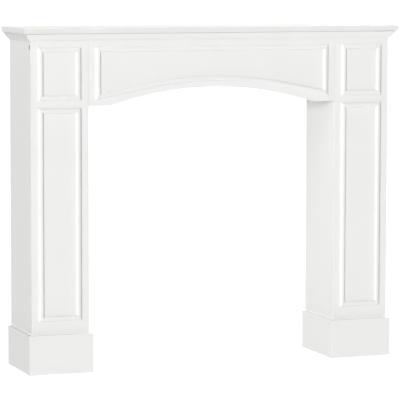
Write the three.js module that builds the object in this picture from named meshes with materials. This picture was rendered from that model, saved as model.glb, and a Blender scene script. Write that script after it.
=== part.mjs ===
// A white painted fireplace mantelpiece: two hollow legs on plinths, an arched header between them,
// applied picture-frame mouldings, and a shelf carried on a small cornice.
// Millimetres. X runs to the right along the wall, Y runs to the wall, Z is up.
// The origin is on the floor, in the middle of the mantelpiece's width and depth.
import * as THREE from 'three';

// Shelf
const shelfWidth = 1200;
const shelfDepth = 250;
const shelfThickness = 16;
const totalHeight = 1030;
const shelfOverhang = 25;          // past the legs, at the front and at both ends

// Boards and joints
const sideThickness = 15;          // side boards of the legs
const frontThickness = 9;          // front boards of the legs and the header
const jointGap = 0.3;              // glue line or hairline seam where two pieces meet

// Legs
const legWidth = 178;
const slotHeight = 12;             // open slot behind the front board, high on the left leg's outer side
const slotWidth = 6;
const slotBelowCornice = 11;

// Plinths wrapped round the front and both sides of each foot
const plinthHeight = 118;
const plinthProud = 10;

// Header, and the arch under it: a shallow arc between two short flats
const headerHeight = 215.5;        // shelf down to the flats
const flatLength = 69;
const archRise = 51.5;
const archSegments = 36;

// Cornice under the shelf. Slopes are in degrees from upright.
const corniceHeight = 23;
const corniceTopProud = 21;
const corniceTopFillet = 2.5;
const corniceTopQuirk = 1.7;       // step in below the top fillet
const corniceBottomProud = 2.2;
const corniceBottomFillet = 2.1;
const corniceTurnDrop = 10.2;      // top fillet down to where the hollow turns into the round
const corniceTurnProud = 11.3;
const corniceTopSlope = 45;
const corniceTurnSlope = 33;
const corniceBottomSlope = 62;
const corniceCurveSegments = 5;

// Picture-frame mouldings
const frameMouldingWidth = 16;
const frameMouldingHeight = 5.5;
const frameMouldingEdge = 1;       // square edge left at the foot of each slope
const frameMouldingSlope = 5;
const frameSideMargin = 22.5;
const frameTopMargin = 17;         // cornice to frames
const frameArchMargin = 17.2;      // flats and crown of the arch to the header frame
const frameSpacing = 22;           // upper frame to lower frame
const lowerFrameMargin = 40;       // plinth to lower frame
const headerFrameFlatness = 1.06;  // header frame's arc against one that is concentric with the arch

// Places worked out from the sizes above
const legSpan = shelfWidth - 2 * shelfOverhang;
const openingWidth = legSpan - 2 * legWidth;
const frontY = shelfOverhang - shelfDepth / 2;
const backY = shelfDepth / 2;
const shelfUnderside = totalHeight - shelfThickness;
const postHeight = shelfUnderside - jointGap;
const corniceUnderside = postHeight - corniceHeight;
const frameTop = corniceUnderside - frameTopMargin;
const flatHeight = shelfUnderside - headerHeight;
const upperFrameBottom = flatHeight + frameArchMargin;
const lowerFrameTop = upperFrameBottom - frameSpacing;
const lowerFrameBottom = plinthHeight + lowerFrameMargin;
const archSpan = openingWidth - 2 * flatLength;
const archRadius = (archSpan ** 2 / 4 + archRise ** 2) / (2 * archRise);
const archCentreZ = flatHeight + archRise - archRadius;

const mantelpiece = new THREE.Group();

// Satin white paint over board, a shade cooler on the mouldings, which are sprayed separately.
function boardPaint() {
  return new THREE.MeshStandardMaterial({ color: 0xefefed, roughness: 0.45, metalness: 0 });
}

function mouldingPaint() {
  return new THREE.MeshStandardMaterial({ color: 0xf1f1f0, roughness: 0.4, metalness: 0 });
}

function addMesh(name, geometry, material) {
  const mesh = new THREE.Mesh(geometry, material);
  mesh.name = name;
  mantelpiece.add(mesh);
  return mesh;
}

// A flat board between two corners of its box.
function addBoard(name, low, high) {
  const geometry = new THREE.BoxGeometry(high[0] - low[0], high[1] - low[1], high[2] - low[2]);
  const mesh = addMesh(name, geometry, boardPaint());
  mesh.position.set((low[0] + high[0]) / 2, (low[1] + high[1]) / 2, (low[2] + high[2]) / 2);
  return mesh;
}

function leftOf(from, to) {
  const way = to.clone().sub(from).normalize();
  return new THREE.Vector2(-way.y, way.x);
}

// The step that moves a corner so that both of its edges shift sideways by one.
function mitreStep(before, corner, after) {
  const first = leftOf(before, corner);
  const second = leftOf(corner, after);
  return first.clone().add(second).divideScalar(1 + first.dot(second));
}

// A section swept along a flat path of straight steps. The section's points are (distance to the
// left of the path, height), anticlockwise. At an end with a neighbour round the corner, given as the
// next point beyond the end, the cut is a mitre that stops half a joint gap short. Else it is square.
function sweptGeometry(path, section, before, after) {
  const last = path.length - 1;
  const steps = path.map((point, i) => {
    const from = i > 0 ? path[i - 1] : before;
    const to = i < last ? path[i + 1] : after;
    if (!from) return leftOf(point, to);
    if (!to) return leftOf(from, point);
    return mitreStep(from, point, to);
  });
  const points = path.map((point) => point.clone());
  if (before) {
    points[0].add(path[1].clone().sub(path[0]).setLength(jointGap / 2));
  }
  if (after) {
    points[last].add(path[last - 1].clone().sub(path[last]).setLength(jointGap / 2));
  }
  const positions = [];
  points.forEach((point, i) => {
    section.forEach((place) => {
      positions.push(point.x + steps[i].x * place.x, point.y + steps[i].y * place.x, place.y);
    });
  });
  const count = section.length;
  const faces = [];
  for (let i = 0; i < last; i += 1) {
    for (let j = 0; j < count; j += 1) {
      const near = i * count + j;
      const nearNext = i * count + ((j + 1) % count);
      faces.push(near, nearNext, nearNext + count);
      faces.push(near, nearNext + count, near + count);
    }
  }
  THREE.ShapeUtils.triangulateShape(section, []).forEach(([a, b, c]) => {
    faces.push(c, b, a);
    faces.push(last * count + a, last * count + b, last * count + c);
  });
  const geometry = new THREE.BufferGeometry();
  geometry.setAttribute('position', new THREE.Float32BufferAttribute(positions, 3));
  geometry.setIndex(faces);
  geometry.computeVertexNormals();
  return geometry;
}

// Points on the arc over x from -half to half, about a centre on X = 0.
function arcPoints(half, radius, centreHeight) {
  const reach = Math.asin(half / radius);
  const points = [];
  for (let i = 0; i <= archSegments; i += 1) {
    const angle = -reach + (2 * reach * i) / archSegments;
    points.push(new THREE.Vector2(radius * Math.sin(angle), centreHeight + radius * Math.cos(angle)));
  }
  return points;
}

// Shelf board, full width and depth, with a square edge.
function addShelf() {
  const low = [-shelfWidth / 2, -shelfDepth / 2, shelfUnderside];
  const high = [shelfWidth / 2, shelfDepth / 2, totalHeight];
  addBoard('shelf_board', low, high);
}

// A curve between two points of a section, with a slope from upright in degrees at each end.
function slopedCurve(upper, upperSlope, lower, lowerSlope) {
  const upperLean = Math.tan(THREE.MathUtils.degToRad(upperSlope));
  const lowerLean = Math.tan(THREE.MathUtils.degToRad(lowerSlope));
  const straightRun = upper.x - lower.x - lowerLean * (upper.y - lower.y);
  const drop = straightRun / (upperLean - lowerLean);
  const pull = new THREE.Vector2(upper.x - upperLean * drop, upper.y - drop);
  return new THREE.QuadraticBezierCurve(upper, pull, lower);
}

// Cornice section: a fillet at the top with a small quirk under it, an ogee that is hollow above and
// round below, and a fillet at the foot. Distances are out from the face of the legs.
function corniceSection() {
  const top = postHeight;
  const foot = corniceUnderside;
  const filletFoot = top - corniceTopFillet;
  const start = new THREE.Vector2(corniceTopProud - corniceTopQuirk, filletFoot);
  const turn = new THREE.Vector2(corniceTurnProud, filletFoot - corniceTurnDrop);
  const end = new THREE.Vector2(corniceBottomProud, foot + corniceBottomFillet);
  const hollow = slopedCurve(start, corniceTopSlope, turn, corniceTurnSlope);
  const round = slopedCurve(turn, corniceTurnSlope, end, corniceBottomSlope);
  return [
    new THREE.Vector2(jointGap, top),
    new THREE.Vector2(jointGap, foot),
    new THREE.Vector2(corniceBottomProud, foot),
    ...round.getPoints(corniceCurveSegments).reverse(),
    ...hollow.getPoints(corniceCurveSegments).reverse().slice(1),
    new THREE.Vector2(corniceTopProud, filletFoot),
    new THREE.Vector2(corniceTopProud, top),
  ];
}

// The cornice runs round the right end, the front and the left end, mitred at the two front corners.
function addCornice() {
  const half = legSpan / 2;
  const rightBack = new THREE.Vector2(half, backY);
  const rightFront = new THREE.Vector2(half, frontY);
  const leftFront = new THREE.Vector2(-half, frontY);
  const leftBack = new THREE.Vector2(-half, backY);
  const section = corniceSection();
  addMesh('cornice_right', sweptGeometry([rightBack, rightFront], section, null, leftFront), mouldingPaint());
  addMesh(
    'cornice_front',
    sweptGeometry([rightFront, leftFront], section, rightBack, leftBack),
    mouldingPaint(),
  );
  addMesh('cornice_left', sweptGeometry([leftFront, leftBack], section, rightFront, null), mouldingPaint());
}

// Section of the picture-frame moulding: a flat crest between two slopes.
function frameSection() {
  return [
    new THREE.Vector2(0, jointGap),
    new THREE.Vector2(frameMouldingWidth, jointGap),
    new THREE.Vector2(frameMouldingWidth, jointGap + frameMouldingEdge),
    new THREE.Vector2(frameMouldingWidth - frameMouldingSlope, frameMouldingHeight),
    new THREE.Vector2(frameMouldingSlope, frameMouldingHeight),
    new THREE.Vector2(0, jointGap + frameMouldingEdge),
  ];
}

// Four mitred members round a panel. Its bottom member follows the points given, from left to right.
function addPanelFrame(name, bottomPath, topHeight) {
  const leftFoot = bottomPath[0];
  const rightFoot = bottomPath[bottomPath.length - 1];
  const rightTop = new THREE.Vector2(rightFoot.x, topHeight);
  const leftTop = new THREE.Vector2(leftFoot.x, topHeight);
  const members = {
    bottom: bottomPath,
    right: [rightFoot, rightTop],
    top: [rightTop, leftTop],
    left: [leftTop, leftFoot],
  };
  const runs = Object.values(members);
  Object.keys(members).forEach((member, i) => {
    const run = runs[i];
    const before = runs[(i + 3) % 4].at(-2);
    const after = runs[(i + 1) % 4][1];
    const geometry = sweptGeometry(run, frameSection(), before, after);
    const mesh = addMesh(`${name}_${member}`, geometry, mouldingPaint());
    mesh.rotation.x = Math.PI / 2;
    mesh.position.y = frontY;
  });
}

function addRectangularFrame(name, leftX, rightX, bottomHeight, topHeight) {
  const bottom = [new THREE.Vector2(leftX, bottomHeight), new THREE.Vector2(rightX, bottomHeight)];
  addPanelFrame(name, bottom, topHeight);
}

// The side board on a leg's outer face. The left one has an open slot high in its front edge.
function addOuterBoard(side, name, sideFrontY, slotted) {
  const slotTop = corniceUnderside - slotBelowCornice;
  const outline = [new THREE.Vector2(backY, 0), new THREE.Vector2(backY, postHeight)];
  outline.push(new THREE.Vector2(sideFrontY, postHeight));
  if (slotted) {
    outline.push(new THREE.Vector2(sideFrontY, slotTop));
    outline.push(new THREE.Vector2(sideFrontY + slotWidth, slotTop));
    outline.push(new THREE.Vector2(sideFrontY + slotWidth, slotTop - slotHeight));
    outline.push(new THREE.Vector2(sideFrontY, slotTop - slotHeight));
  }
  outline.push(new THREE.Vector2(sideFrontY, 0));
  const settings = { depth: sideThickness, bevelEnabled: false, steps: 1 };
  const mesh = addMesh(name, new THREE.ExtrudeGeometry(new THREE.Shape(outline), settings), boardPaint());
  mesh.rotation.set(Math.PI / 2, Math.PI / 2, 0);
  mesh.position.x = side > 0 ? legSpan / 2 - sideThickness : -legSpan / 2;
}

// One leg: a front board over the front edges of two side boards, open at the back, with a plinth
// round its foot and two framed panels on its front. The side is -1 for the left leg and 1 for the right.
function addLeg(name, side) {
  const outerX = (side * legSpan) / 2;
  const innerX = outerX - side * legWidth;
  const leftX = Math.min(outerX, innerX);
  const rightX = Math.max(outerX, innerX);
  const sideFrontY = frontY + frontThickness + jointGap;
  addBoard(`${name}_leg_front_board`, [leftX, frontY, 0], [rightX, frontY + frontThickness, postHeight]);
  addOuterBoard(side, `${name}_leg_outer_board`, sideFrontY, side < 0);
  const innerFarX = innerX + side * sideThickness;
  addBoard(
    `${name}_leg_inner_board`,
    [Math.min(innerX, innerFarX), sideFrontY, 0],
    [Math.max(innerX, innerFarX), backY, postHeight],
  );
  addPlinth(name, side, leftX, rightX);
  const frameLeft = leftX + frameSideMargin;
  const frameRight = rightX - frameSideMargin;
  addRectangularFrame(`${name}_upper_frame`, frameLeft, frameRight, upperFrameBottom, frameTop);
  addRectangularFrame(`${name}_lower_frame`, frameLeft, frameRight, lowerFrameBottom, lowerFrameTop);
}

// Plinth boards mitred round the right side, the front and the left side of a foot.
function addPlinth(name, side, leftX, rightX) {
  const rightBack = new THREE.Vector2(rightX, backY);
  const rightFront = new THREE.Vector2(rightX, frontY);
  const leftFront = new THREE.Vector2(leftX, frontY);
  const leftBack = new THREE.Vector2(leftX, backY);
  const section = [
    new THREE.Vector2(jointGap, 0),
    new THREE.Vector2(plinthProud, 0),
    new THREE.Vector2(plinthProud, plinthHeight),
    new THREE.Vector2(jointGap, plinthHeight),
  ];
  const rightName = side > 0 ? 'outer' : 'inner';
  const leftName = side > 0 ? 'inner' : 'outer';
  const right = sweptGeometry([rightBack, rightFront], section, null, leftFront);
  const front = sweptGeometry([rightFront, leftFront], section, rightBack, leftBack);
  const left = sweptGeometry([leftFront, leftBack], section, rightFront, null);
  addMesh(`${name}_plinth_${rightName}`, right, boardPaint());
  addMesh(`${name}_plinth_front`, front, boardPaint());
  addMesh(`${name}_plinth_${leftName}`, left, boardPaint());
}

// Bottom edge of the header's frame: an arc over the arch, with straight ends that run off it at a
// tangent down to the corners.
function headerFrameBottom() {
  const corner = new THREE.Vector2(openingWidth / 2 - frameSideMargin, upperFrameBottom);
  const crown = flatHeight + archRise + frameArchMargin;
  const radius = (archRadius + frameArchMargin) * headerFrameFlatness;
  const centreHeight = crown - radius;
  const toCorner = corner.clone().sub(new THREE.Vector2(0, centreHeight));
  const tangentAngle = toCorner.angle() + Math.acos(radius / toCorner.length());
  const arc = arcPoints(radius * Math.cos(tangentAngle), radius, centreHeight);
  return [new THREE.Vector2(-corner.x, corner.y), ...arc, corner];
}

// Header: an arched front board between the legs, flush with them and open behind, and one long frame
// whose lower member follows the arch.
function addHeader() {
  const end = openingWidth / 2 - jointGap;
  const outline = [
    new THREE.Vector2(-end, flatHeight),
    ...arcPoints(archSpan / 2, archRadius, archCentreZ),
    new THREE.Vector2(end, flatHeight),
    new THREE.Vector2(end, postHeight),
    new THREE.Vector2(-end, postHeight),
  ];
  const settings = { depth: frontThickness, bevelEnabled: false, steps: 1 };
  const geometry = new THREE.ExtrudeGeometry(new THREE.Shape(outline), settings);
  const mesh = addMesh('header_board', geometry, boardPaint());
  mesh.rotation.x = Math.PI / 2;
  mesh.position.y = frontY + frontThickness;
  addPanelFrame('header_frame', headerFrameBottom(), frameTop);
}

addShelf();
addCornice();
addLeg('left', -1);
addLeg('right', 1);
addHeader();

export default mantelpiece;
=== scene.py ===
import math

import bmesh
import bpy
from mathutils import Matrix, Vector


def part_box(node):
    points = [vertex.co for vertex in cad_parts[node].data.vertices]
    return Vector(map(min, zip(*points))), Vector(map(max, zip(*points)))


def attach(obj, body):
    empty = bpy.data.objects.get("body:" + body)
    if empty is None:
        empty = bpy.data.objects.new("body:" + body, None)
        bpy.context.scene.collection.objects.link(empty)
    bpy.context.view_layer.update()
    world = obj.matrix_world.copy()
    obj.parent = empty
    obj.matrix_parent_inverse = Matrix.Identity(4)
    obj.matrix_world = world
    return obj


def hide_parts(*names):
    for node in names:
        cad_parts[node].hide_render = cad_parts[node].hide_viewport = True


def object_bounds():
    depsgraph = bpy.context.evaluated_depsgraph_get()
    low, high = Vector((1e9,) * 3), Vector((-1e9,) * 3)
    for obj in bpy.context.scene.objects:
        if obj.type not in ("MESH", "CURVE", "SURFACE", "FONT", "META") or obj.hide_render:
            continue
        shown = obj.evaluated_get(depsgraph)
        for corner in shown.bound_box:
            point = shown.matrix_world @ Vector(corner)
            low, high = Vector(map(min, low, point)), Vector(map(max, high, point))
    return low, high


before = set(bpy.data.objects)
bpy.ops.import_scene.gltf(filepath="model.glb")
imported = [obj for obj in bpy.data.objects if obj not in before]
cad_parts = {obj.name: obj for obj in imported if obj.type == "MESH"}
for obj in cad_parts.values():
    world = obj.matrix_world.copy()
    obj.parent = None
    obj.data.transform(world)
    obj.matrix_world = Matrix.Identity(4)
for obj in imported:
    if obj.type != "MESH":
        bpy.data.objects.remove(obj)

# The whole mantelpiece: a painted fibreboard surround that stands on its two feet against a wall.
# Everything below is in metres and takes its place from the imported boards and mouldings.
cad_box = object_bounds()
MM = 0.001
FACE_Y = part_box("header_board")[0].y
BACK_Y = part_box("shelf_board")[1].y


# Leg boards: each leg is a front board laid over the front edges of two side boards, open at the
# back. They are medium-density fibreboard, cut square, rubbed down on every arris and sprayed satin
# white. The faces inside the leg only have a thin coat of primer, and the slot's faces are bare
# fibreboard coloured a dark brown that is painted shade for the shadow inside the slot.
BOARD_ARRIS = 0.7 * MM
SLOT_WIDTH = 6 * MM
SLOT_HEIGHT = 12 * MM
SLOT_BELOW_CORNICE = 11 * MM
BOARD_WHITE = "F4F4F2"
EDGE_WHITE = "F1F1EF"
PRIMER_WHITE = "E4E2DC"
# painted shade: a brown far darker than bare fibreboard, standing in for the shadow inside the slot
SLOT_SHADE_BROWN = "4E4841"
PEEL_SPACING = 2.4 * MM         # ripples of the orange peel that a spray gun leaves
PEEL_DEPTH = 0.03 * MM
CUT_EDGE_SPACING = 0.8 * MM     # fibres that a cut edge lets through the paint
CUT_EDGE_DEPTH = 0.05 * MM
FIBRE_SPACING = 1.5 * MM        # raised fibres on a thinly primed face
FIBRE_DEPTH = 0.08 * MM
COAT_DRIFT = 120 * MM           # a spray coat's thickness drifts over about a hand's breadth
GLOSS_DRIFT = 0.05              # how far the roughness drifts with it, either way
THIN_COAT_BELOW = 0.3           # noise values: the thin coat's colour below one, the full one's above
FULL_COAT_ABOVE = 0.7
COAT_IOR = 1.48
RELIEF_STRENGTH = 0.5
ALIGNED = 0.9                   # the cosine from which a face counts as lying square to a way
SQUARE_EDGE = math.radians(45)  # edges that turn by more than this are square ones


def linear_colour(code):
    channels = [int(code[i:i + 2], 16) / 255 for i in (0, 2, 4)]
    linear = [c / 12.92 if c <= 0.04045 else ((c + 0.055) / 1.055) ** 2.4 for c in channels]
    return (*linear, 1.0)


def add_node(tree, kind, settings=(), links=()):
    """Adds a shader node with its settings, and links inputs to other nodes' outputs by name."""
    node = tree.nodes.new(kind)
    for name, value in dict(settings).items():
        if hasattr(node, name):
            setattr(node, name, value)
        else:
            node.inputs[name].default_value = value
    for name, (source, output) in dict(links).items():
        tree.links.new(source.outputs[output], node.inputs[name])
    return node


def sprayed_finish(name, colour, thin_colour, roughness, spacing, depth, detail):
    """A finish on fibreboard. Its colour and its gloss drift a little, as with a coat's thickness, and
    its surface has a fine relief: the spray's orange peel, or fibres that show through."""
    material = bpy.data.materials.new(name)
    material.use_nodes = True
    tree = material.node_tree
    shader = tree.nodes["Principled BSDF"]
    shader.inputs["IOR"].default_value = COAT_IOR
    place = add_node(tree, "ShaderNodeTexCoord")
    coat = add_node(tree, "ShaderNodeTexNoise", {"Scale": 1 / COAT_DRIFT, "Detail": 3.0},
                    {"Vector": (place, "Object")})
    tint = add_node(tree, "ShaderNodeValToRGB", links={"Fac": (coat, "Fac")})
    tint.color_ramp.elements[0].position = THIN_COAT_BELOW
    tint.color_ramp.elements[0].color = linear_colour(thin_colour)
    tint.color_ramp.elements[1].position = FULL_COAT_ABOVE
    tint.color_ramp.elements[1].color = linear_colour(colour)
    gloss = add_node(tree, "ShaderNodeMapRange",
                     {"To Min": roughness + GLOSS_DRIFT, "To Max": roughness - GLOSS_DRIFT},
                     {"Value": (coat, "Fac")})
    relief = add_node(tree, "ShaderNodeTexNoise", {"Scale": 1 / spacing, "Detail": detail},
                      {"Vector": (place, "Object")})
    bump = add_node(tree, "ShaderNodeBump", {"Strength": RELIEF_STRENGTH, "Distance": depth},
                    {"Height": (relief, "Fac")})
    tree.links.new(tint.outputs["Color"], shader.inputs["Base Color"])
    tree.links.new(gloss.outputs["Result"], shader.inputs["Roughness"])
    tree.links.new(bump.outputs["Normal"], shader.inputs["Normal"])
    return material


# Satin lacquer on a smooth face: nearly even, with a broad soft highlight and a trace of orange peel.
board_face = sprayed_finish("satin_lacquer_on_board_face", BOARD_WHITE, "F2F2F0", 0.42,
                            PEEL_SPACING, PEEL_DEPTH, 1.0)
# The same lacquer on a cut edge, which drinks it: duller, with a fine tooth.
board_edge = sprayed_finish("satin_lacquer_on_cut_edge", EDGE_WHITE, "EDEDEA", 0.55,
                            CUT_EDGE_SPACING, CUT_EDGE_DEPTH, 3.0)
# Primer on the faces inside: matt, thin, a little creamy, with raised fibres.
board_inside = sprayed_finish("thin_primer_on_fibreboard", PRIMER_WHITE, "D9D5CB", 0.85,
                              FIBRE_SPACING, FIBRE_DEPTH, 4.0)
# Bare fibreboard in the slot, rough, and coloured dark brown as painted shade: the darkness stands for
# the slot's shadow, not the board's own colour.
slot_shade_finish = sprayed_finish("bare_fibreboard_with_painted_shade_in_slot", SLOT_SHADE_BROWN, "423C36", 0.9,
                          FIBRE_SPACING, FIBRE_DEPTH, 4.0)


def rub_down(bm, edges, width, segments=3):
    bmesh.ops.bevel(bm, geom=edges, offset=width, offset_type="OFFSET", segments=segments,
                    profile=0.5, affect="EDGES", clamp_overlap=True, material=-1)


def block_between(low, high):
    bm = bmesh.new()
    bmesh.ops.create_cube(bm, size=1.0)
    bmesh.ops.scale(bm, vec=high - low, verts=bm.verts)
    bmesh.ops.translate(bm, vec=(low + high) / 2, verts=bm.verts)
    return bm


def push_face(bm, face, step):
    """Extrudes a face along a step into a closed solid."""
    pushed = bmesh.ops.extrude_face_region(bm, geom=[face])["geom"]
    bmesh.ops.translate(bm, vec=step, verts=[v for v in pushed if isinstance(v, bmesh.types.BMVert)])


def coat_faces(bm, thickness_way, inside_way=None):
    """Gives a board's cut edges the edge finish, and its hidden face the inside finish."""
    bmesh.ops.recalc_face_normals(bm, faces=bm.faces)
    for face in bm.faces:
        if abs(face.normal.dot(thickness_way)) < ALIGNED:
            face.material_index = 1
        elif inside_way and face.normal.dot(inside_way) > 0:
            face.material_index = 2


def finish_piece(bm, node, materials, smooth_angle=None):
    """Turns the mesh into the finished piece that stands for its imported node."""
    bmesh.ops.recalc_face_normals(bm, faces=bm.faces)
    mesh = bpy.data.meshes.new(node + "_painted")
    bm.to_mesh(mesh)
    bm.free()
    for material in materials:
        mesh.materials.append(material)
    if smooth_angle:
        mesh.shade_smooth()
        mesh.set_sharp_from_angle(angle=math.radians(smooth_angle))
    piece = bpy.data.objects.new(node + "_painted", mesh)
    bpy.context.scene.collection.objects.link(piece)
    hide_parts(node)
    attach(piece, "root")


def slotted_board(low, high, slot_top):
    """A side board with an open slot in its front edge."""
    front, depth = low.y, low.y + SLOT_WIDTH
    slot_foot = slot_top - SLOT_HEIGHT
    outline = [(high.y, low.z), (high.y, high.z), (front, high.z), (front, slot_top), (depth, slot_top),
               (depth, slot_foot), (front, slot_foot), (front, low.z)]
    bm = bmesh.new()
    face = bm.faces.new([bm.verts.new((low.x, y, z)) for y, z in outline])
    push_face(bm, face, Vector((high.x - low.x, 0, 0)))
    return bm


def paint_slot_shade(bm, front, slot_top):
    """Gives the faces inside the slot the dark brown finish that is painted shade for the slot's
    shadow.
    """
    slot_foot = slot_top - SLOT_HEIGHT
    for face in bm.faces:
        middle = face.calc_center_median()
        in_slot = slot_foot - BOARD_ARRIS < middle.z < slot_top + BOARD_ARRIS
        behind_front = front + BOARD_ARRIS < middle.y < front + SLOT_WIDTH + BOARD_ARRIS
        if in_slot and behind_front and abs(face.normal.x) < ALIGNED:
            # the slot's painted shade
            face.material_index = 3


board_finishes = [board_face, board_edge, board_inside]
slot_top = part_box("cornice_left")[0].z - SLOT_BELOW_CORNICE
for leg in ("left", "right"):
    low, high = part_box(leg + "_leg_front_board")
    leg_middle = (low.x + high.x) / 2
    front = block_between(low, high)
    rub_down(front, front.edges, BOARD_ARRIS)
    coat_faces(front, Vector((0, 1, 0)), Vector((0, 1, 0)))
    finish_piece(front, leg + "_leg_front_board", board_finishes)
    for part in ("outer", "inner"):
        node = f"{leg}_leg_{part}_board"
        low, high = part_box(node)
        slotted = node == "left_leg_outer_board"
        side = slotted_board(low, high, slot_top) if slotted else block_between(low, high)
        rub_down(side, side.edges, BOARD_ARRIS)
        into_leg = Vector((leg_middle - low.x, 0, 0)).normalized()
        coat_faces(side, into_leg, into_leg)
        if slotted:
            paint_slot_shade(side, low.y, slot_top)
        finish_piece(side, node, board_finishes + [slot_shade_finish] * slotted)


# Plinths: three thin boards wrapped round each foot, mitred at the two front corners, glued and
# pinned to the leg, and painted with it. Their top edge is a plain narrow ledge.
MITRE_GAP = 0.1 * MM


def cut_mitre(bm, corner, away):
    """Saws off what lies past a corner, square to the way given, and closes the cut."""
    cut = bmesh.ops.bisect_plane(bm, geom=bm.verts[:] + bm.edges[:] + bm.faces[:], plane_no=away,
                                 plane_co=corner - away * MITRE_GAP / 2, clear_outer=True)
    rim = [e for e in cut["geom_cut"] if isinstance(e, bmesh.types.BMEdge)]
    bmesh.ops.contextual_create(bm, geom=rim)


for leg in ("left", "right"):
    low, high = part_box(leg + "_plinth_front")
    for part in ("front", "inner", "outer"):
        node = f"{leg}_plinth_{part}"
        part_low, part_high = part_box(node)
        board = block_between(part_low, part_high)
        rub_down(board, board.edges, BOARD_ARRIS)
        on_right = part_low.x > (low.x + high.x) / 2
        if part == "front":
            cuts = [(Vector((low.x, low.y, 0)), Vector((-1, 1, 0)).normalized()),
                    (Vector((high.x, low.y, 0)), Vector((1, 1, 0)).normalized())]
        elif on_right:
            cuts = [(Vector((high.x, low.y, 0)), Vector((-1, -1, 0)).normalized())]
        else:
            cuts = [(Vector((low.x, low.y, 0)), Vector((1, -1, 0)).normalized())]
        for corner, away in cuts:
            cut_mitre(board, corner, away)
        thickness_way = Vector((0, 1, 0)) if part == "front" else Vector((1, 0, 0))
        coat_faces(board, thickness_way)
        finish_piece(board, node, board_finishes[:2])


# Header board: one board between the legs, flush with their fronts, its lower edge sawn to a shallow
# arc between two short flats. It is lacquered in front and primed behind, where it is open.
ARCH_SPAN = 656 * MM
ARCH_RISE = 51.5 * MM
ARCH_STEPS = 72

header_low, header_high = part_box("header_board")
flat_height = header_low.z
arch_radius = (ARCH_SPAN ** 2 / 4 + ARCH_RISE ** 2) / (2 * ARCH_RISE)
arch_centre = Vector((0, header_low.y, flat_height + ARCH_RISE - arch_radius))
arch_angle = 2 * math.asin(ARCH_SPAN / 2 / arch_radius)

header = bmesh.new()
left_flat = header.verts.new((header_low.x, header_low.y, flat_height))
arch_start = header.verts.new((-ARCH_SPAN / 2, header_low.y, flat_height))
header.edges.new((left_flat, arch_start))
bmesh.ops.spin(header, geom=[arch_start], cent=arch_centre, axis=(0, 1, 0), angle=arch_angle,
               steps=ARCH_STEPS, use_duplicate=False)
arch_end = max(header.verts, key=lambda v: v.co.x)
right_flat = header.verts.new((header_high.x, header_low.y, flat_height))
header.edges.new((arch_end, right_flat))
raised = bmesh.ops.extrude_edge_only(header, edges=header.edges[:])["geom"]
for v in raised:
    if isinstance(v, bmesh.types.BMVert):
        v.co.z = header_high.z
pushed = bmesh.ops.extrude_face_region(header, geom=header.faces[:])["geom"]
bmesh.ops.translate(header, vec=(0, header_high.y - header_low.y, 0),
                    verts=[v for v in pushed if isinstance(v, bmesh.types.BMVert)])
bmesh.ops.recalc_face_normals(header, faces=header.faces)
rub_down(header, [e for e in header.edges if e.calc_face_angle(0) > SQUARE_EDGE], BOARD_ARRIS)
coat_faces(header, Vector((0, 1, 0)), Vector((0, 1, 0)))
finish_piece(header, "header_board", board_finishes)


# Picture-frame mouldings: lengths of a small moulding with a flat crest between two rounds, mitred,
# glued and pinned on the legs and the header as five frames. The header's lower length is bent to
# follow the arch. They are sprayed a shade cooler and a little glossier than the boards.
FRAME_WIDTH = 16 * MM
FRAME_EDGE = 1.0 * MM
FRAME_ROUND = 4.8 * MM
FRAME_CREST_SLOPE = 78          # slopes in degrees from upright
FRAME_FOOT_SLOPE = 20
FRAME_STEPS = 6
FRAME_ARRIS = 0.6 * MM
FRAME_SMOOTH_ANGLE = 35         # degrees: sharper turns stay sharp
SECTION_CORNER = 30             # degrees: a section's sharper turns are its corners
WELD = 0.01 * MM                # points nearer than this are one
MOULDING_WHITE = "F4F5F4"

moulding_face = sprayed_finish("satin_lacquer_on_moulding", MOULDING_WHITE, "F2F3F2", 0.38,
                               PEEL_SPACING, PEEL_DEPTH, 1.0)


def sloped_curve(upper, upper_slope, lower, lower_slope, steps):
    """Points from upper to lower on a curve that leaves and arrives at slopes from upright."""
    upper_lean = math.tan(math.radians(upper_slope))
    lower_lean = math.tan(math.radians(lower_slope))
    run, fall = upper[0] - lower[0], upper[1] - lower[1]
    pull_drop = (run - lower_lean * fall) / (upper_lean - lower_lean)
    pull = (upper[0] - upper_lean * pull_drop, upper[1] - pull_drop)
    shares = [i / steps for i in range(steps + 1)]
    return [tuple((1 - t) ** 2 * a + 2 * t * (1 - t) * b + t ** 2 * c
                  for a, b, c in zip(upper, pull, lower)) for t in shares]


frame_rise = FACE_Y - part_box("header_frame_top")[0].y
left_round = sloped_curve((FRAME_ROUND, frame_rise), FRAME_CREST_SLOPE,
                          (0, FRAME_EDGE), FRAME_FOOT_SLOPE, FRAME_STEPS)
right_round = [(FRAME_WIDTH - across, rise) for across, rise in reversed(left_round)]
frame_section = [(0, 0), (FRAME_WIDTH, 0), *right_round, *left_round]


def mitre_way(before, corner, after):
    """The way in which a length that runs from corner to after is sawn off at the corner."""
    return -((corner - before).normalized() + (after - corner).normalized()).normalized()


def section_face(bm, points, arris):
    """The face of a moulding's section, with its corners rounded but for those on its back."""
    bm.faces.new([bm.verts.new(point) for point in points])
    corners = [v for v in list(bm.verts)[2:] if v.calc_edge_angle() > math.radians(SECTION_CORNER)]
    bmesh.ops.bevel(bm, geom=corners, offset=arris, offset_type="OFFSET", segments=3, profile=0.5,
                    affect="VERTICES", clamp_overlap=True, material=-1)
    return list(bm.faces)[0]


def moulding_length(section, arris, start, end, across, out, cuts):
    """A length of moulding: its section pushed along from start to end, and sawn at the cuts."""
    spare = (end - start).normalized() * max(size for size, _ in section)
    bm = bmesh.new()
    face = section_face(bm, [start - spare + across * a + out * b for a, b in section], arris)
    push_face(bm, face, end - start + 2 * spare)
    for corner, away in cuts:
        cut_mitre(bm, corner, away)
    return bm


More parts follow.
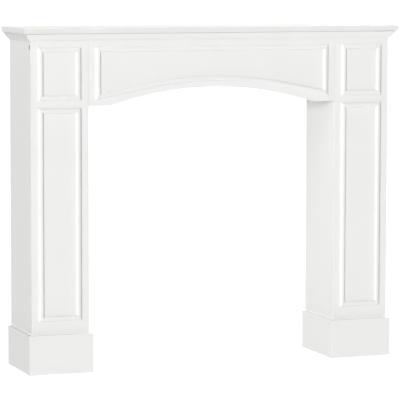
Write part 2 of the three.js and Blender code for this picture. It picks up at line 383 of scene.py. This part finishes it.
def frame_member(node, before, start, end, after):
    """A straight member of a frame, from corner to corner, with its section on its left."""
    out = Vector((0, -1, 0))
    across = out.cross(end - start).normalized()
    cuts = [(start, mitre_way(before, start, end)), (end, mitre_way(after, end, start))]
    bm = moulding_length(frame_section, FRAME_ARRIS, start, end, across, out, cuts)
    finish_piece(bm, node, [moulding_face], FRAME_SMOOTH_ANGLE)


for name in ("left_upper", "left_lower", "right_upper", "right_lower", "header"):
    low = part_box(name + "_frame_left")[0]
    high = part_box(name + "_frame_right")[1]
    corners = [Vector((low.x, FACE_Y, low.z)), Vector((high.x, FACE_Y, low.z)),
               Vector((high.x, FACE_Y, high.z)), Vector((low.x, FACE_Y, high.z))]
    for i, member in enumerate(("bottom", "right", "top", "left")):
        if (name, member) != ("header", "bottom"):
            frame_member(f"{name}_frame_{member}", *[corners[(i + step) % 4] for step in (-1, 0, 1, 2)])

# The header's lower length, bent over the arch, with straight ends that run off it down to the
# corners. It is made from the crown to the right corner, and mirrored.
FRAME_ARCH_MARGIN = 17.2 * MM
FRAME_ARC_FLATNESS = 1.06
FRAME_ARC_STEPS = 40

arc_radius = (arch_radius + FRAME_ARCH_MARGIN) * FRAME_ARC_FLATNESS
arc_centre = Vector((0, FACE_Y, flat_height + ARCH_RISE + FRAME_ARCH_MARGIN - arc_radius))
corner = Vector((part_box("header_frame_right")[1].x, FACE_Y, flat_height + FRAME_ARCH_MARGIN))
to_corner = corner - arc_centre
end_angle = math.atan2(to_corner.x, to_corner.z) - math.acos(arc_radius / to_corner.length)
end_way = Vector((math.cos(end_angle), 0, -math.sin(end_angle)))

bent = bmesh.new()
crown_face = section_face(bent, [(0, FACE_Y - rise, arc_centre.z + arc_radius + across)
                                 for across, rise in frame_section], FRAME_ARRIS)
swept = bmesh.ops.spin(bent, geom=[crown_face], cent=arc_centre, axis=(0, 1, 0), angle=end_angle,
                       steps=FRAME_ARC_STEPS, use_duplicate=False)
end_face = [f for f in swept["geom_last"] if isinstance(f, bmesh.types.BMFace)][0]
push_face(bent, end_face, end_way * ((corner - arc_centre).dot(end_way) + FRAME_WIDTH))
away = mitre_way(corner + Vector((0, 0, 1)), corner, corner - end_way)
cut_mitre(bent, corner, away)
at_crown = [f for f in bent.faces if all(v.co.x < WELD for v in f.verts)]
bmesh.ops.delete(bent, geom=[end_face] + at_crown, context="FACES_ONLY")
bmesh.ops.mirror(bent, geom=bent.verts[:] + bent.edges[:] + bent.faces[:], axis="X", merge_dist=WELD)
finish_piece(bent, "header_frame_bottom", [moulding_face], FRAME_SMOOTH_ANGLE)


# Cornice: a small ogee moulding under the shelf, hollow above and round below between two fillets,
# glued round the two ends and the front in three lengths, mitred at the front corners. A narrow
# rebate along its top leaves a dark line under the shelf.
CORNICE_REBATE = 0.8 * MM
CORNICE_REBATE_DEPTH = 3 * MM
CORNICE_TOP_FILLET = 2.5 * MM
CORNICE_TOP_QUIRK = 1.7 * MM
CORNICE_BOTTOM_PROUD = 2.2 * MM
CORNICE_BOTTOM_FILLET = 2.1 * MM
CORNICE_TURN_DROP = 10.2 * MM
CORNICE_TURN_PROUD = 11.3 * MM
CORNICE_TOP_SLOPE = 45          # slopes in degrees from upright
CORNICE_TURN_SLOPE = 33
CORNICE_BOTTOM_SLOPE = 62
CORNICE_STEPS = 10
CORNICE_ARRIS = 0.4 * MM
CORNICE_SMOOTH_ANGLE = 25

cornice_low, cornice_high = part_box("cornice_front")
leg_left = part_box("left_leg_front_board")[0].x
leg_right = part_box("right_leg_front_board")[1].x
cornice_proud = leg_left - cornice_low.x

fillet_foot = cornice_high.z - CORNICE_TOP_FILLET
ogee_top = (cornice_proud - CORNICE_TOP_QUIRK, fillet_foot)
ogee_turn = (CORNICE_TURN_PROUD, fillet_foot - CORNICE_TURN_DROP)
ogee_foot = (CORNICE_BOTTOM_PROUD, cornice_low.z + CORNICE_BOTTOM_FILLET)
hollow = sloped_curve(ogee_top, CORNICE_TOP_SLOPE, ogee_turn, CORNICE_TURN_SLOPE, CORNICE_STEPS)
round_part = sloped_curve(ogee_turn, CORNICE_TURN_SLOPE, ogee_foot, CORNICE_BOTTOM_SLOPE,
                          CORNICE_STEPS)
rebate_foot = cornice_high.z - CORNICE_REBATE
rebate_back = cornice_proud - CORNICE_REBATE_DEPTH
cornice_section = [(0, cornice_low.z), (0, cornice_high.z), (rebate_back, cornice_high.z),
                   (rebate_back, rebate_foot), (cornice_proud, rebate_foot),
                   (cornice_proud, fillet_foot), *hollow, *round_part[1:],
                   (CORNICE_BOTTOM_PROUD, cornice_low.z)]

left_corner = Vector((leg_left, FACE_Y, 0))
right_corner = Vector((leg_right, FACE_Y, 0))
left_back = Vector((leg_left, BACK_Y, 0))
right_back = Vector((leg_right, BACK_Y, 0))
cornice_runs = {
    "cornice_left": (left_back, left_corner, Vector((-1, 0, 0)),
                     [(left_corner, Vector((1, -1, 0)))]),
    "cornice_front": (left_corner, right_corner, Vector((0, -1, 0)),
                      [(left_corner, Vector((-1, 1, 0))), (right_corner, Vector((1, 1, 0)))]),
    "cornice_right": (right_corner, right_back, Vector((1, 0, 0)),
                      [(right_corner, Vector((-1, -1, 0)))]),
}
for node, (start, end, out, cuts) in cornice_runs.items():
    cuts = [(place, away.normalized()) for place, away in cuts]
    bm = moulding_length(cornice_section, CORNICE_ARRIS, start, end, out, Vector((0, 0, 1)), cuts)
    if node != "cornice_front":
        bmesh.ops.bisect_plane(bm, geom=bm.verts[:] + bm.edges[:] + bm.faces[:],
                               plane_co=left_back, plane_no=(0, 1, 0), clear_outer=True)
        bmesh.ops.holes_fill(bm, edges=[e for e in bm.edges if e.is_boundary])
    finish_piece(bm, node, [moulding_face], CORNICE_SMOOTH_ANGLE)


# Shelf: one board laid on the legs, the header and the cornice, and screwed down from inside the
# legs. Its upper edges are rounded over, and the rest are rubbed down like the other boards'.
SHELF_TOP_ROUND = 2.0 * MM

shelf_low, shelf_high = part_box("shelf_board")
shelf = block_between(shelf_low, shelf_high)
top_edges = [e for e in shelf.edges if all(v.co.z == shelf_high.z for v in e.verts)]
rub_down(shelf, top_edges, SHELF_TOP_ROUND, segments=6)
rub_down(shelf, [e for e in shelf.edges if e.calc_face_angle() > SQUARE_EDGE], BOARD_ARRIS)
coat_faces(shelf, Vector((0, 0, 1)))
finish_piece(shelf, "shelf_board", board_finishes[:2])


# Studio: a plain white floor and backdrop, as of a picture cut out on white, and soft lamps round the
# mantelpiece. The main lamp stands low on the left of the camera, so the mouldings' left slopes are
# light and their right slopes dark, and the rest fill in from the front, behind and below.
CAMERA_LENS = 221.81
CAMERA_PLACE = (-2.5985, -7.078, 1.2482)
CAMERA_YAW = 20.109             # degrees
CAMERA_TILT = 84.3              # degrees up from straight down
CAMERA_ROLL = 0.1
CAMERA_REACH = 200

camera = bpy.data.objects.new("camera", bpy.data.cameras.new("camera"))
camera.data.lens = CAMERA_LENS
camera.data.clip_end = CAMERA_REACH
camera.location = CAMERA_PLACE
turn = Matrix.Rotation(math.radians(-CAMERA_YAW), 4, "Z")
tilt = Matrix.Rotation(math.radians(CAMERA_TILT), 4, "X")
roll = Matrix.Rotation(math.radians(CAMERA_ROLL), 4, "Z")
camera.rotation_euler = (turn @ tilt @ roll).to_euler()
bpy.context.scene.collection.objects.link(camera)
bpy.context.scene.camera = camera

STUDIO_RADIUS = 60
FLOOR_TONE = "7C7C7C"           # what the floor throws back of the lamps' light
FLOOR_GLOW = 0.92
BACKDROP_TONE = "000000"
BACKDROP_GLOW = 1.0


def studio_surface(name, bm, tone, glow):
    """A white surface with a glow of its own, which only the camera sees and which lights nothing."""
    mesh = bpy.data.meshes.new(name)
    bm.to_mesh(mesh)
    bm.free()
    white = bpy.data.materials.new(name + "_white")
    white.use_nodes = True
    shader = white.node_tree.nodes["Principled BSDF"]
    shader.inputs["Base Color"].default_value = linear_colour(tone)
    shader.inputs["Roughness"].default_value = 1.0
    shader.inputs["Specular IOR Level"].default_value = 0
    shader.inputs["Emission Color"].default_value = (1, 1, 1, 1)
    shader.inputs["Emission Strength"].default_value = glow
    white.cycles.emission_sampling = "NONE"
    mesh.materials.append(white)
    surface = bpy.data.objects.new(name, mesh)
    surface.visible_diffuse = False
    surface.visible_glossy = False
    surface.visible_shadow = False
    bpy.context.scene.collection.objects.link(surface)


floor = bmesh.new()
bmesh.ops.create_circle(floor, cap_ends=True, radius=STUDIO_RADIUS, segments=64)
studio_surface("floor", floor, FLOOR_TONE, FLOOR_GLOW)
backdrop = bmesh.new()
bmesh.ops.create_uvsphere(backdrop, u_segments=64, v_segments=32, radius=STUDIO_RADIUS)
studio_surface("backdrop", backdrop, BACKDROP_TONE, BACKDROP_GLOW)

# Each distant lamp: degrees left of the front, degrees up, degrees across, strength, and colour. The
# one below does what light thrown back by the floor does, and the floor casts no shadow for it.
LAMPS = {
    "main_lamp": (35, 10, 12, 1.80, "FFFFFF"),
    "high_left_lamp": (45, 42, 40, 0.81, "FFFFFF"),
    "lamp_behind_left": (135, 15, 40, 1.00, "FBFDFF"),
    "lamp_behind_right": (225, 42, 40, 3.58, "FFFFFF"),
    "lamp_below": (0, -90, 130, 2.53, "FFFFFF"),
}
for name, (left, up, across, strength, colour) in LAMPS.items():
    lamp = bpy.data.objects.new(name, bpy.data.lights.new(name, "SUN"))
    lamp.data.energy = strength
    lamp.data.angle = math.radians(across)
    lamp.data.color = linear_colour(colour)[:3]
    lamp.rotation_euler = (math.radians(90 - up), 0, math.radians(-left))
    bpy.context.scene.collection.objects.link(lamp)

FRONT_PANEL_PLACE = Vector((-0.3, -5.0, 1.0))
FRONT_PANEL_SIZE = 1.5
FRONT_PANEL_WATTS = 35
front_panel = bpy.data.objects.new("front_panel", bpy.data.lights.new("front_panel", "AREA"))
front_panel.data.energy = FRONT_PANEL_WATTS
front_panel.data.size = FRONT_PANEL_SIZE
front_panel.location = FRONT_PANEL_PLACE
to_middle = (cad_box[0] + cad_box[1]) / 2 - FRONT_PANEL_PLACE
front_panel.rotation_euler = to_middle.to_track_quat("-Z", "Y").to_euler()
bpy.context.scene.collection.objects.link(front_panel)

bpy.context.scene.view_settings.view_transform = "Standard"
world = bpy.data.worlds.new("unlit_room")
bpy.context.scene.world = world
world.use_nodes = True
world.node_tree.nodes["Background"].inputs["Strength"].default_value = 0
